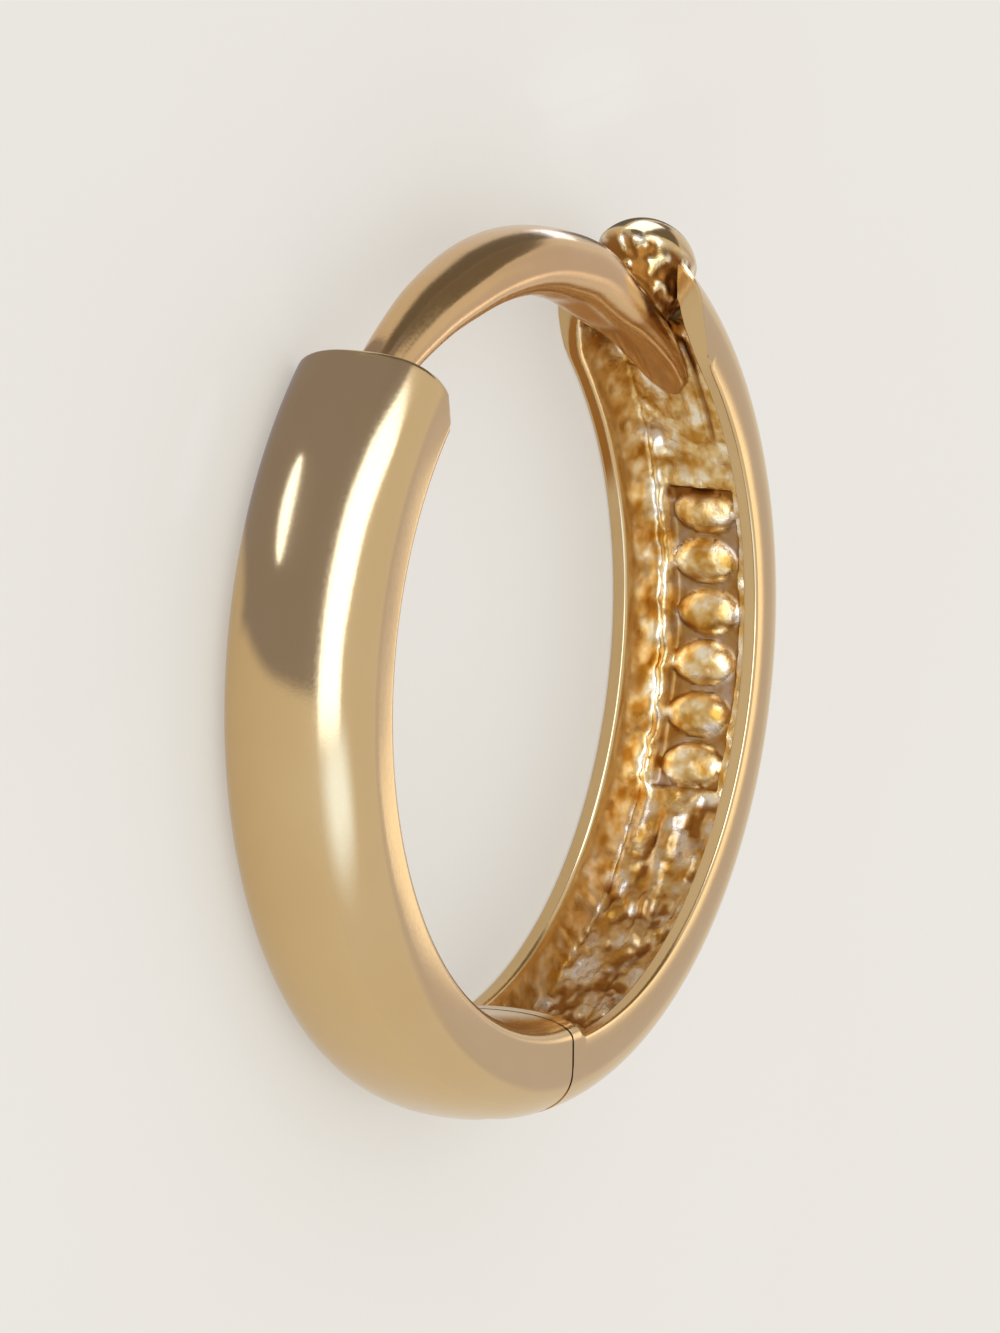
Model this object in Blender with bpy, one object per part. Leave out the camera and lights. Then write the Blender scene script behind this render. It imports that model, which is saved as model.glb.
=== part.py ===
# Huggie hoop earring lying on its side: the hoop's axis is +Z and the floor is z = 0.
# Angles go round the hoop from +X, the middle of the back half, towards +Y, where the ear post is.
import math

import bmesh
import bpy
from mathutils import Matrix, Vector

MM = 0.001

# Band, the same for both halves
HOOP_RADIUS = 6.5 * MM  # hoop axis to the top of the crown
BAND_WIDTH = 2.33 * MM  # along the hoop's axis
BAND_THICKNESS = 1.15 * MM  # crown to rim
SIDE_HEIGHT = 0.35 * MM  # flat side between rim and shoulder
CROWN_POWER = 2.4  # 2 is an ellipse, more is squarer
DOME_HEIGHT = 0.33 * MM  # how far the closed half bulges inwards past the rims
DOME_CORNER = 0.02 * MM  # where the inner rounding starts, outside the rim level
DOME_POWER = 2.3

# Where the pieces meet, in degrees round the hoop
CAP_ANGLE = 128.0
SEAM_ANGLE = 267.0
BACK_TOP_ANGLE = 53.5
SEAM_GAP = 0.05 * MM

# Trough in the back half
TROUGH_DEPTH = 0.62 * MM
RIM_WIDTH = 0.23 * MM
WALL_SLOPE = 0.2 * MM  # how much further in the wall's foot stands than its rim
RIM_EDGE = 0.05 * MM  # small rounding on the rims
FOOT_ROUNDING = 0.1 * MM  # between wall and floor
END_WALL = 0.35 * MM  # closed end at the seam
SLANT_START = 30.0  # degrees; from here to the top end the rims run out towards the crown
SLANT_POWER = 3.4  # 1 is a straight ramp, more keeps the walls high for longer

# Sunk panel on the trough's floor, with a row of raised ovals
PANEL_START = -29.0
PANEL_END = 12.5
PANEL_WIDTH = 1.0 * MM
PANEL_DEPTH = 0.1 * MM
PANEL_EDGE = 0.025 * MM  # slope of its edges
OVAL_COUNT = 6
OVAL_LENGTH = 0.52 * MM
OVAL_WIDTH = 0.84 * MM
OVAL_HEIGHT = 0.13 * MM

# Hinge at the seam
PIN_RADIUS = 0.16 * MM
PIN_CLEARANCE = 0.03 * MM
PIN_LENGTH = 1.56 * MM
PIN_SETBACK = 0.7 * MM  # pin's axis to the seam, on the front half's side
PIN_DEPTH = 0.5 * MM  # pin's axis below the top of the crown
TONGUE_WIDTH = 0.9 * MM
TONGUE_RADIUS = 0.4 * MM
TONGUE_CLEARANCE = 0.05 * MM
TONGUE_ROOT = 0.21 * MM  # how far it reaches into the end wall

# Ear post: an oval bar that arches from the trough to the cap
POST_WIDTH = 1.36 * MM
POST_THICKNESS = 0.98 * MM
POST_CLEARANCE = 0.05 * MM  # root to trough floor
SOCKET_CLEARANCE = 0.11 * MM
SOCKET_DEPTH = 0.12 * MM  # room past the post's end

# Round-headed rivet that holds the root of the post, in a round seat of the back half's top
RIVET_ANGLE = 48.0
RIVET_RADIUS = 0.78 * MM
RIVET_DEPTH = 0.17 * MM  # centre of the round head below the top of the crown
SHANK_RADIUS = 0.2 * MM
SHANK_DEPTH = 0.35 * MM  # into the root of the post
SKIRT_DROP = 0.22 * MM  # how far the head reaches down beside the root
RIVET_CLEARANCE = 0.04 * MM

# Steps of the faceted surfaces
BAND_STEP = 4.5  # degrees
POST_STEPS = 20
ROUND_SIDES = 20
HEAD_SIDES = 28
HEAD_STEPS = 10
SEAT_START = 80.0  # degrees below the middle, where the round seat's flat bottom is
TONGUE_STEPS = 12
SLANT_STEPS = 10
NOSE_SHARES = (0.0, 0.3, 0.55, 0.75, 0.88, 0.96, 1.0)  # rounded lower end of the front half
OVAL_ACROSS = (0.95, 0.68, 0.35, 0.0)
OVAL_ALONG = (-1.0, -0.85, -0.4, 0.0, 0.4, 0.85, 1.0)
SMOOTH_ANGLE = 35.0  # degrees; sharper edges are shaded sharp
SHARP_ANGLE = 50.0  # degrees; the cap's edges that are rounded turn by more
SAME_PLACE = 1e-7

# The post's sections: angle in degrees, rise above its seat as a share of the band's thickness,
# width and thickness as shares of the post's
POST_TABLE = [
    {"angle": 29.0, "rise": 0.0, "width": 0.18, "thickness": 0.12},
    {"angle": 31.0, "rise": 0.0, "width": 0.40, "thickness": 0.19},
    {"angle": 35.5, "rise": 0.0, "width": 0.58, "thickness": 0.32},
    {"angle": 41.5, "rise": 0.0, "width": 0.70, "thickness": 0.49},
    {"angle": 48.0, "rise": 0.0, "width": 0.78, "thickness": 0.66},
    {"angle": 54.0, "rise": 0.0, "width": 0.85, "thickness": 0.80},
    {"angle": 58.0, "rise": 0.03, "width": 0.90, "thickness": 0.88},
    {"angle": 62.0, "rise": 0.07, "width": 0.95, "thickness": 0.94},
    {"angle": 67.0, "rise": 0.10, "width": 0.99, "thickness": 0.98},
    {"angle": 73.0, "rise": 0.11, "width": 1.0, "thickness": 1.0},
    {"angle": 80.0, "rise": 0.11, "width": 1.0, "thickness": 1.0},
    {"angle": 88.0, "rise": 0.105, "width": 0.97, "thickness": 0.98},
    {"angle": 96.0, "rise": 0.09, "width": 0.90, "thickness": 0.94},
    {"angle": 104.0, "rise": 0.075, "width": 0.82, "thickness": 0.88},
    {"angle": 111.0, "rise": 0.085, "width": 0.73, "thickness": 0.81},
    {"angle": 117.0, "rise": 0.09, "width": 0.65, "thickness": 0.74},
    {"angle": 122.0, "rise": 0.11, "width": 0.59, "thickness": 0.68},
    {"angle": 127.0, "rise": 0.14, "width": 0.54, "thickness": 0.62},
    {"angle": 131.0, "rise": 0.175, "width": 0.48, "thickness": 0.54},
    {"angle": 133.2, "rise": 0.20, "width": 0.36, "thickness": 0.40},
]
SOCKET_START = 120.0  # the socket follows the post's rows from here to its end
POST_ROOT_ROWS = 10  # rows of the root that the rivet's head straddles
ARCH_SPAN = 40.0  # degrees about +Y, where the post is the earring's highest point

RIM_RADIUS = HOOP_RADIUS - BAND_THICKNESS
SHOULDER_RADIUS = RIM_RADIUS + SIDE_HEIGHT
FLOOR_RADIUS = RIM_RADIUS + TROUGH_DEPTH
HALF_WIDTH = BAND_WIDTH / 2
PIN_ORBIT = HOOP_RADIUS - PIN_DEPTH
PIN_ANGLE = SEAM_ANGLE - math.degrees(math.asin(PIN_SETBACK / PIN_ORBIT))
FLOOR_HALF = HALF_WIDTH - RIM_WIDTH - WALL_SLOPE


def polar(radius, angle, z=0.0):
    """Point at a radius and an angle in degrees round the hoop's axis."""
    turn = math.radians(angle)
    return Vector((radius * math.cos(turn), radius * math.sin(turn), z))


def seat_radius(thickness):
    """Radius of the centre of a post section that rests on the trough's floor."""
    return FLOOR_RADIUS - POST_CLEARANCE - thickness / 2


PIN_AXIS = polar(PIN_ORBIT, PIN_ANGLE)
POST_TOP = max(
    seat_radius(row["thickness"] * POST_THICKNESS) + row["rise"] * BAND_THICKNESS
    + row["thickness"] * POST_THICKNESS / 2
    for row in POST_TABLE if abs(row["angle"] - 90) < ARCH_SPAN / 2
)
HOOP_CENTRE = Vector((0.0, (HOOP_RADIUS - POST_TOP) / 2, HALF_WIDTH))


def rounded(share, power):
    """Height of a superellipse over its middle, for a share of its half width from -1 to 1."""
    return max(0.0, 1 - abs(share) ** power) ** (1 / power)


def spread(steps):
    """Shares from 1 down to -1, closer together at both ends."""
    return [math.cos(math.pi * i / steps) for i in range(steps + 1)]


def crown_points(limit=math.inf):
    """Outer side of the band, from +Z to -Z, as (radius, z), cut off at a largest radius."""
    points = []
    for share in spread(SIDE_POINTS - 1):
        height = (HOOP_RADIUS - SHOULDER_RADIUS) * rounded(share, CROWN_POWER)
        points.append((min(SHOULDER_RADIUS + height, limit), share * HALF_WIDTH))
    return points


def dome_points():
    """Inner side of the closed band, from -Z to +Z, as (radius, z)."""
    start = RIM_RADIUS + DOME_CORNER
    depth = DOME_CORNER + DOME_HEIGHT
    shares = spread(SIDE_POINTS - 1)[::-1]
    return [(start - depth * rounded(share, DOME_POWER), share * HALF_WIDTH) for share in shares]


def oval_height(angle, z):
    """Height of the raised ovals over the panel's floor."""
    pitch = (PANEL_END - PANEL_START) / OVAL_COUNT
    place = (angle - PANEL_START) / pitch
    if not 0 < place < OVAL_COUNT:
        return 0.0
    along = (place - math.floor(place) - 0.5) * math.radians(pitch) * FLOOR_RADIUS
    reach = (2 * along / OVAL_LENGTH) ** 2 + (2 * z / OVAL_WIDTH) ** 2
    return OVAL_HEIGHT * math.sqrt(max(0.0, 1 - reach))


def trough_points(angle, sunk):
    """Rims, walls and floor of the trough, from -Z to +Z, as (radius, z)."""
    rim_inner = HALF_WIDTH - RIM_WIDTH
    panel = PANEL_WIDTH / 2
    side = [
        (RIM_RADIUS + RIM_EDGE, HALF_WIDTH),
        (RIM_RADIUS, HALF_WIDTH - RIM_EDGE),
        (RIM_RADIUS, rim_inner + RIM_EDGE),
        (RIM_RADIUS + RIM_EDGE, rim_inner),
        (FLOOR_RADIUS - FOOT_ROUNDING, FLOOR_HALF + WALL_SLOPE * FOOT_ROUNDING / TROUGH_DEPTH),
        (FLOOR_RADIUS, FLOOR_HALF - FOOT_ROUNDING),
    ]
    floor = [(FLOOR_RADIUS, panel + PANEL_EDGE), (FLOOR_RADIUS + sunk, panel)]
    for share in OVAL_ACROSS:
        z = share * OVAL_WIDTH / 2
        raised = oval_height(angle, z) if sunk else 0.0
        floor.append((FLOOR_RADIUS + sunk - raised, z))
    half = side + floor
    mirrored = [(radius, -z) for radius, z in half]
    return mirrored + half[-2::-1]


SIDE_POINTS = len(trough_points(0.0, 0.0))  # points on each side of the band's outline


def loft(bm, rings):
    """Closed skin through rings of points; each flat end is a strip between a ring's two halves."""
    loops = [[bm.verts.new(point) for point in ring] for ring in rings]
    for near, far in zip(loops, loops[1:]):
        for i in range(len(near)):
            j = (i + 1) % len(near)
            bm.faces.new((near[i], near[j], far[j], far[i]))
    for ring in (loops[0][::-1], loops[-1]):
        for i in range(len(ring) // 2 - 1):
            bm.faces.new((ring[i], ring[i + 1], ring[-2 - i], ring[-1 - i]))
    bmesh.ops.triangulate(bm, faces=bm.faces[:])
    bmesh.ops.recalc_face_normals(bm, faces=bm.faces[:])


def gold(name, colour, roughness):
    """Yellow gold with its own colour and polish."""
    material = bpy.data.materials.new(name)
    material.use_nodes = True
    shader = material.node_tree.nodes["Principled BSDF"]
    shader.inputs["Base Color"].default_value = (*colour, 1.0)
    shader.inputs["Metallic"].default_value = 1.0
    shader.inputs["Roughness"].default_value = roughness
    return material


def add_object(name, bm, parent, origin=(0, 0, 0), material=None):
    """Object from a bmesh built in the hoop's own place, with its origin moved to a point."""
    bmesh.ops.translate(bm, verts=bm.verts[:], vec=-Vector(origin))
    mesh = bpy.data.meshes.new(name)
    bm.to_mesh(mesh)
    bm.free()
    mesh.shade_smooth()
    mesh.set_sharp_from_angle(angle=math.radians(SMOOTH_ANGLE))
    thing = bpy.data.objects.new(name, mesh)
    bpy.context.collection.objects.link(thing)
    thing.parent = parent
    thing.location = origin
    if material:
        mesh.materials.append(material)
    return thing


def add_cutter(name, bm, parent):
    """Hidden shape that only cuts or adds."""
    cutter = add_object(name, bm, parent)
    cutter.hide_render = True
    cutter.display_type = "WIRE"
    return cutter


def combine(thing, tool, operation):
    """Boolean of a piece with a hidden shape."""
    modifier = thing.modifiers.new(tool.name, "BOOLEAN")
    modifier.object = tool
    modifier.operation = operation
    modifier.solver = "EXACT"


def cylinder(radius, length, sides, place):
    """Closed cylinder along Z, then put in place by a matrix."""
    bm = bmesh.new()
    bmesh.ops.create_cone(
        bm, cap_ends=True, segments=sides, radius1=radius, radius2=radius, depth=length, matrix=place
    )
    return bm


def prism(outline, width):
    """Flat outline of hoop points extruded evenly both ways along the hoop's axis."""
    bm = bmesh.new()
    rings = [[point + Vector((0, 0, z)) for point in outline] for z in (-width / 2, width / 2)]
    loft(bm, rings)
    return bm


def seam_point(along, radius):
    """Point by its distance past the pin towards the back half, and its radius at the seam."""
    outward = polar(1.0, SEAM_ANGLE)
    onward = polar(1.0, SEAM_ANGLE + 90)
    return outward * radius + onward * (along - PIN_SETBACK)


def steps_between(start, end):
    """Evenly spaced angles about a band step apart, both ends included."""
    count = max(1, math.ceil(abs(end - start) / BAND_STEP))
    return [start + (end - start) * i / count for i in range(count + 1)]


def post_row(row, grow=0.0):
    """Centre radius, half width and half thickness of one post section."""
    thickness = row["thickness"] * POST_THICKNESS
    centre = seat_radius(thickness) + row["rise"] * BAND_THICKNESS
    return centre, row["width"] * POST_WIDTH / 2 + grow, thickness / 2 + grow


def post_rings(rows, grow=0.0, extra=0.0):
    """Oval rings square to the post's own path; extra lengthens the last one."""
    centres = [polar(post_row(row)[0], row["angle"]) for row in rows]
    rings = []
    for i, row in enumerate(rows):
        before = centres[max(i - 1, 0)]
        after = centres[min(i + 1, len(rows) - 1)]
        path = (after - before).normalized()
        outward = path.cross(Vector((0, 0, 1))).normalized()
        _, half_width, half_thick = post_row(row, grow)
        centre = centres[i] + (path * extra if i == len(rows) - 1 else Vector())
        ring = []
        for k in range(POST_STEPS):
            turn = 2 * math.pi * k / POST_STEPS
            across = Vector((0, 0, half_width * math.sin(turn)))
            ring.append(centre + outward * (half_thick * math.cos(turn)) + across)
        rings.append(ring)
    return rings


def make_front_half(frame):
    """Closed half: socket for the post at its top, slot and bore for the hinge at its seam."""
    reach = PIN_SETBACK - SEAM_GAP / 2
    end = SEAM_ANGLE - math.degrees(SEAM_GAP / 2 / PIN_ORBIT)
    nose = [PIN_ANGLE + (end - PIN_ANGLE) * share for share in NOSE_SHARES]
    rings = []
    for angle in steps_between(CAP_ANGLE, PIN_ANGLE)[:-1] + nose:
        limit = math.inf
        if angle >= PIN_ANGLE:
            turn = math.radians(angle - PIN_ANGLE)
            room = max(0.0, reach ** 2 - (PIN_ORBIT * math.sin(turn)) ** 2)
            limit = PIN_ORBIT * math.cos(turn) + math.sqrt(room)
        outline = crown_points(limit) + dome_points()
        rings.append([polar(radius, angle, z) for radius, z in outline])
    bm = bmesh.new()
    loft(bm, rings)
    bevel_cap(bm)
    metal = gold("polished_gold", (0.72, 0.50, 0.25), 0.12)
    front = add_object("front_half", bm, frame, PIN_AXIS, metal)

    slot_low = -(TONGUE_RADIUS + TONGUE_CLEARANCE)
    slot_high = PIN_SETBACK + BAND_THICKNESS
    slot_floor = PIN_ORBIT - TONGUE_RADIUS - TONGUE_CLEARANCE
    slot_top = HOOP_RADIUS + BAND_THICKNESS
    corners = [
        seam_point(slot_low, slot_floor), seam_point(slot_high, slot_floor),
        seam_point(slot_high, slot_top), seam_point(slot_low, slot_top),
    ]
    slot = prism(corners, TONGUE_WIDTH + 2 * TONGUE_CLEARANCE)
    bore_length = PIN_LENGTH + 2 * PIN_CLEARANCE
    bore = cylinder(PIN_RADIUS + PIN_CLEARANCE, bore_length, ROUND_SIDES, Matrix.Translation(PIN_AXIS))
    socket = bmesh.new()
    rows = [row for row in POST_TABLE if row["angle"] >= SOCKET_START]
    loft(socket, post_rings(rows, SOCKET_CLEARANCE, SOCKET_DEPTH))
    for name, cut in (("slot_cut", slot), ("pin_bore_cut", bore), ("socket_cut", socket)):
        combine(front, add_cutter(name, cut, frame), "DIFFERENCE")
    return front


def bevel_cap(bm):
    """Small rounding of the edge round the cap's flat end."""
    normal = polar(1.0, CAP_ANGLE + 90)
    edges = []
    for edge in bm.edges:
        on_end = all(abs(vert.co.dot(normal)) < SAME_PLACE for vert in edge.verts)
        outer = len(edge.link_faces) == 2 and edge.calc_face_angle(0.0) > math.radians(SHARP_ANGLE)
        if on_end and outer:
            edges.append(edge)
    bmesh.ops.bevel(
        bm, geom=edges, offset=RIM_EDGE, segments=2, profile=0.5, affect="EDGES", clamp_overlap=True
    )
    bmesh.ops.triangulate(bm, faces=bm.faces[:])


def back_stations():
    """Angles of the trough's sections, with the fine ones over the panel."""
    pitch = (PANEL_END - PANEL_START) / OVAL_COUNT
    half_oval = math.degrees(OVAL_LENGTH / 2 / FLOOR_RADIUS)
    edge = math.degrees(PANEL_EDGE / FLOOR_RADIUS)
    first = SEAM_ANGLE - 360 + math.degrees(END_WALL / FLOOR_RADIUS)
    stations = [(angle, 0.0) for angle in steps_between(first, PANEL_START - edge)]
    stations.append((PANEL_START, PANEL_DEPTH))
    for i in range(OVAL_COUNT):
        middle = PANEL_START + (i + 0.5) * pitch
        for share in OVAL_ALONG:
            stations.append((middle + share * half_oval, PANEL_DEPTH))
    stations.append((PANEL_END, PANEL_DEPTH))
    stations += [(angle, 0.0) for angle in steps_between(PANEL_END + edge, BACK_TOP_ANGLE)]
    return stations


def make_back_half(frame):
    """Trough-shaped half with its end wall, hinge tongue and rivet seat."""
    start = SEAM_ANGLE - 360 + math.degrees(SEAM_GAP / 2 / PIN_ORBIT)
    wall = SEAM_ANGLE - 360 + math.degrees(END_WALL / FLOOR_RADIUS)
    rings = []
    for angle in (start, wall - math.degrees(RIM_EDGE / FLOOR_RADIUS)):
        rings.append([polar(radius, angle, z) for radius, z in crown_points() + dome_points()])
    for angle, sunk in back_stations():
        outline = crown_points() + trough_points(angle, sunk)
        rings.append([polar(radius, angle, z) for radius, z in outline])
    bm = bmesh.new()
    loft(bm, rings)
    back = add_object("back_half", bm, frame, material=gold("cast_gold", (0.70, 0.46, 0.20), 0.3))

    outline = []
    for i in range(TONGUE_STEPS):
        turn = math.radians(90 + 180 * i / (TONGUE_STEPS - 1))
        along, rise = TONGUE_RADIUS * math.cos(turn), TONGUE_RADIUS * math.sin(turn)
        outline.append(seam_point(along, PIN_ORBIT + rise))
    root = PIN_SETBACK + TONGUE_ROOT
    outline += [seam_point(root, PIN_ORBIT - TONGUE_RADIUS), seam_point(root, PIN_ORBIT + TONGUE_RADIUS)]
    combine(back, add_cutter("tongue_add", prism(outline, TONGUE_WIDTH), frame), "UNION")
    bore = cylinder(PIN_RADIUS + PIN_CLEARANCE, BAND_WIDTH, ROUND_SIDES, Matrix.Translation(PIN_AXIS))
    combine(back, add_cutter("tongue_bore_cut", bore, frame), "DIFFERENCE")

    seat = ball(RIVET_RADIUS + RIVET_CLEARANCE, -math.radians(SEAT_START))
    combine(back, add_cutter("rivet_seat_cut", seat, frame), "DIFFERENCE")
    combine(back, add_cutter("seat_mouth_cut", seat_mouth(), frame), "DIFFERENCE")
    combine(back, add_cutter("top_slant_cut", top_slant(), frame), "DIFFERENCE")
    return back


def seat_mouth():
    """Round channel that opens the rivet's seat towards the arch of the post."""
    turn = Matrix.Rotation(math.radians(RIVET_ANGLE), 4, "Z") @ Matrix.Rotation(math.pi / 2, 4, "X")
    onward = polar(BAND_WIDTH / 2, RIVET_ANGLE + 90)
    place = Matrix.Translation(polar(HOOP_RADIUS - RIVET_DEPTH, RIVET_ANGLE) + onward)
    return cylinder(RIVET_RADIUS, BAND_WIDTH, HEAD_SIDES, place @ turn)


def top_slant():
    """What the slant takes off the inner side of the walls, from the rims out past the crown."""
    low = RIM_RADIUS - RIM_EDGE
    slant = []
    inner = []
    for i in range(SLANT_STEPS + 2):
        share = i / SLANT_STEPS
        angle = SLANT_START + (BACK_TOP_ANGLE - SLANT_START) * share
        slant.append(polar(low + (HOOP_RADIUS - low) * share ** SLANT_POWER, angle))
        inner.append(polar(RIM_RADIUS - BAND_THICKNESS, angle))
    return prism(slant + inner[::-1], 2 * BAND_WIDTH)


def radial_cylinder(radius, low, high, sides):
    """Cylinder along the rivet's axis between two radii of the hoop."""
    turn = Matrix.Rotation(math.radians(RIVET_ANGLE), 4, "Z") @ Matrix.Rotation(math.pi / 2, 4, "Y")
    middle = Matrix.Translation(polar((low + high) / 2, RIVET_ANGLE))
    return cylinder(radius, high - low, sides, middle @ turn)


def make_ear_post(frame):
    """Arching post, with the blind hole for the rivet's shank in its root."""
    bm = bmesh.new()
    loft(bm, post_rings(POST_TABLE))
    post = add_object("ear_post", bm, frame, material=gold("satin_gold", (0.68, 0.46, 0.27), 0.2))
    floor = seat_radius(0.0)
    hole = radial_cylinder(
        SHANK_RADIUS + RIVET_CLEARANCE, floor - SHANK_DEPTH - RIVET_CLEARANCE, HOOP_RADIUS, ROUND_SIDES
    )
    combine(post, add_cutter("shank_socket_cut", hole, frame), "DIFFERENCE")
    return post


def ball(radius, start):
    """Ball round the rivet's centre, cut flat at an angle below its middle, in radians."""
    centre = HOOP_RADIUS - RIVET_DEPTH
    profile = [(centre + radius * math.sin(start), 0.0)]
    for i in range(HEAD_STEPS):
        turn = start + (math.pi / 2 - start) * i / HEAD_STEPS
        profile.append((centre + radius * math.sin(turn), radius * math.cos(turn)))
    profile.append((centre + radius, 0.0))
    bm = bmesh.new()
    verts = [bm.verts.new((across, 0, along)) for along, across in profile]
    edges = [bm.edges.new(pair) for pair in zip(verts, verts[1:])]
    bmesh.ops.spin(
        bm, geom=verts + edges, cent=(0, 0, 0), axis=(0, 0, 1), angle=2 * math.pi,
        steps=HEAD_SIDES, use_merge=True,
    )
    bmesh.ops.remove_doubles(bm, verts=bm.verts[:], dist=SAME_PLACE)
    turn = Matrix.Rotation(math.radians(RIVET_ANGLE), 4, "Z") @ Matrix.Rotation(math.pi / 2, 4, "Y")
    bmesh.ops.transform(bm, matrix=turn, verts=bm.verts[:])
    bmesh.ops.triangulate(bm, faces=bm.faces[:])
    bmesh.ops.recalc_face_normals(bm, faces=bm.faces[:])
    return bm


def make_post_rivet(frame):
    """Round polished head that straddles the post's root, in one with its shank."""
    centre = HOOP_RADIUS - RIVET_DEPTH
    root_top = seat_radius(0.0)
    bm = ball(RIVET_RADIUS, -math.asin((centre - root_top + SKIRT_DROP) / RIVET_RADIUS))
    rivet = add_object("post_rivet", bm, frame, material=gold("mirror_gold", (0.78, 0.57, 0.30), 0.05))
    saddle = bmesh.new()
    loft(saddle, post_rings(POST_TABLE[:POST_ROOT_ROWS], RIVET_CLEARANCE))
    combine(rivet, add_cutter("root_saddle_cut", saddle, frame), "DIFFERENCE")
    shank = radial_cylinder(SHANK_RADIUS, root_top - SHANK_DEPTH, centre, ROUND_SIDES)
    combine(rivet, add_cutter("shank_add", shank, frame), "UNION")
    return rivet


def make_hinge_pin(frame, front):
    """Hidden pin through the cheeks of the front half and the tongue of the back half."""
    bm = cylinder(PIN_RADIUS, PIN_LENGTH, ROUND_SIDES, Matrix.Translation(PIN_AXIS))
    bmesh.ops.triangulate(bm, faces=bm.faces[:])
    pin = add_object("hinge_pin", bm, frame, PIN_AXIS, gold("pin_gold", (0.70, 0.47, 0.24), 0.25))
    pin.parent = front
    pin.location = (0, 0, 0)
    return pin


def build():
    for old in list(bpy.data.objects):
        bpy.data.objects.remove(old)
    frame = bpy.data.objects.new("hoop_centre", None)
    bpy.context.collection.objects.link(frame)
    frame.location = HOOP_CENTRE
    front = make_front_half(frame)
    make_back_half(frame)
    make_ear_post(frame)
    make_post_rivet(frame)
    make_hinge_pin(frame, front)


build()
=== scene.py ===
from math import cos, degrees, pi, radians, sin

import bpy
import numpy as np
from mathutils import Matrix, Vector


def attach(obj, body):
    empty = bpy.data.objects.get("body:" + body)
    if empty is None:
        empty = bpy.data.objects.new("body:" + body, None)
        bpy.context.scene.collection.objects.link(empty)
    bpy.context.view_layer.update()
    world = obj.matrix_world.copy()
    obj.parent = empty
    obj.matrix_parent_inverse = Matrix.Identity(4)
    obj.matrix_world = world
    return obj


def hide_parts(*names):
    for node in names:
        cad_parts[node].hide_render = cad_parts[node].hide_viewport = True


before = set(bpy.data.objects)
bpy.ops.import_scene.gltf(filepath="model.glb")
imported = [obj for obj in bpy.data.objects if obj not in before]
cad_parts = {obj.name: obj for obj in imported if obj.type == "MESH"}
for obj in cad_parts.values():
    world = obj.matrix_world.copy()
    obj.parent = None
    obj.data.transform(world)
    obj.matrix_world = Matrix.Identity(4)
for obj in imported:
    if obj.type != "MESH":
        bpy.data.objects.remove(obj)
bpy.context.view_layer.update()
print("frame loaded:", sorted(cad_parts))

mm = 0.001

hoop = {
    "radius": 6.5,  # hoop's axis to the top of the crown
    "width": 2.33,
    "thickness": 1.15,
    "side": 0.35,  # flat side between the inner rim and the crown
    "crownPower": 2.4,  # 2 is an ellipse, more is squarer
    "domeHeight": 0.33,
    "domeCorner": 0.02,
    "domePower": 2.3,
    "centreY": 0.2267,  # the box's middle lies a little below the hoop's own centre
    "seam": 267.0,
    "seamGap": 0.05,
}
half = hoop["width"] / 2
rim = hoop["radius"] - hoop["thickness"]
shoulder = rim + hoop["side"]

hinge = {
    "pinOrbit": 6.0,
    "pinAngle": 260.3002,
    "setback": 0.7,  # pin's axis to the seam
    "tongueWidth": 0.9,
    "tongueRadius": 0.4,
    "tongueLength": 0.92,  # from the pin's axis back into the end wall
    "tongueEdge": 0.04,
    "clearance": 0.05,
}


def place(radius, angle, z):
    # Cylinder coordinates about the hoop's axis, in mm and degrees, to row coordinates in metres.
    turn = np.radians(angle)
    x = radius * np.cos(turn)
    y = radius * np.sin(turn) + hoop["centreY"]
    return np.stack(np.broadcast_arrays(x, y, z + half), axis=-1) * mm


def smoothStep(low, high, value):
    # 0 up to low, 1 from high on, 3t^2 - 2t^3 between; where low is the larger it falls instead.
    t = np.clip((value - low) / (high - low), 0, 1)
    return t * t * (3 - 2 * t)


def softNoise(u, v, seed):
    # Random heights from -1 to 1 on a lattice of whole numbers, blended between neighbours by smooth steps.
    table = np.random.default_rng(seed).random((128, 128)) * 2 - 1
    iu, iv = np.floor(u).astype(int), np.floor(v).astype(int)
    fu, fv = u - iu, v - iv
    su, sv = fu * fu * (3 - 2 * fu), fv * fv * (3 - 2 * fv)
    a, b = table[iu % 128, iv % 128], table[(iu + 1) % 128, iv % 128]
    c, d = table[iu % 128, (iv + 1) % 128], table[(iu + 1) % 128, (iv + 1) % 128]
    return (a * (1 - su) + b * su) * (1 - sv) + (c * (1 - su) + d * su) * sv


def smoothTable(rows, column, angles):
    # Cubic through the table's rows (each piece's end slopes are the mean slopes of its neighbours).
    x = np.array([row[0] for row in rows])
    y = np.array([row[column] for row in rows])
    slope = np.gradient(y, x)
    i = np.clip(np.searchsorted(x, angles) - 1, 0, len(x) - 2)
    step = x[i + 1] - x[i]
    t = np.clip((angles - x[i]) / step, 0, 1)
    h0, h1 = (1 + 2 * t) * (1 - t) ** 2, t * t * (3 - 2 * t)
    g0, g1 = t * (1 - t) ** 2, t * t * (t - 1)
    return h0 * y[i] + h1 * y[i + 1] + step * (g0 * slope[i] + g1 * slope[i + 1])


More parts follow.
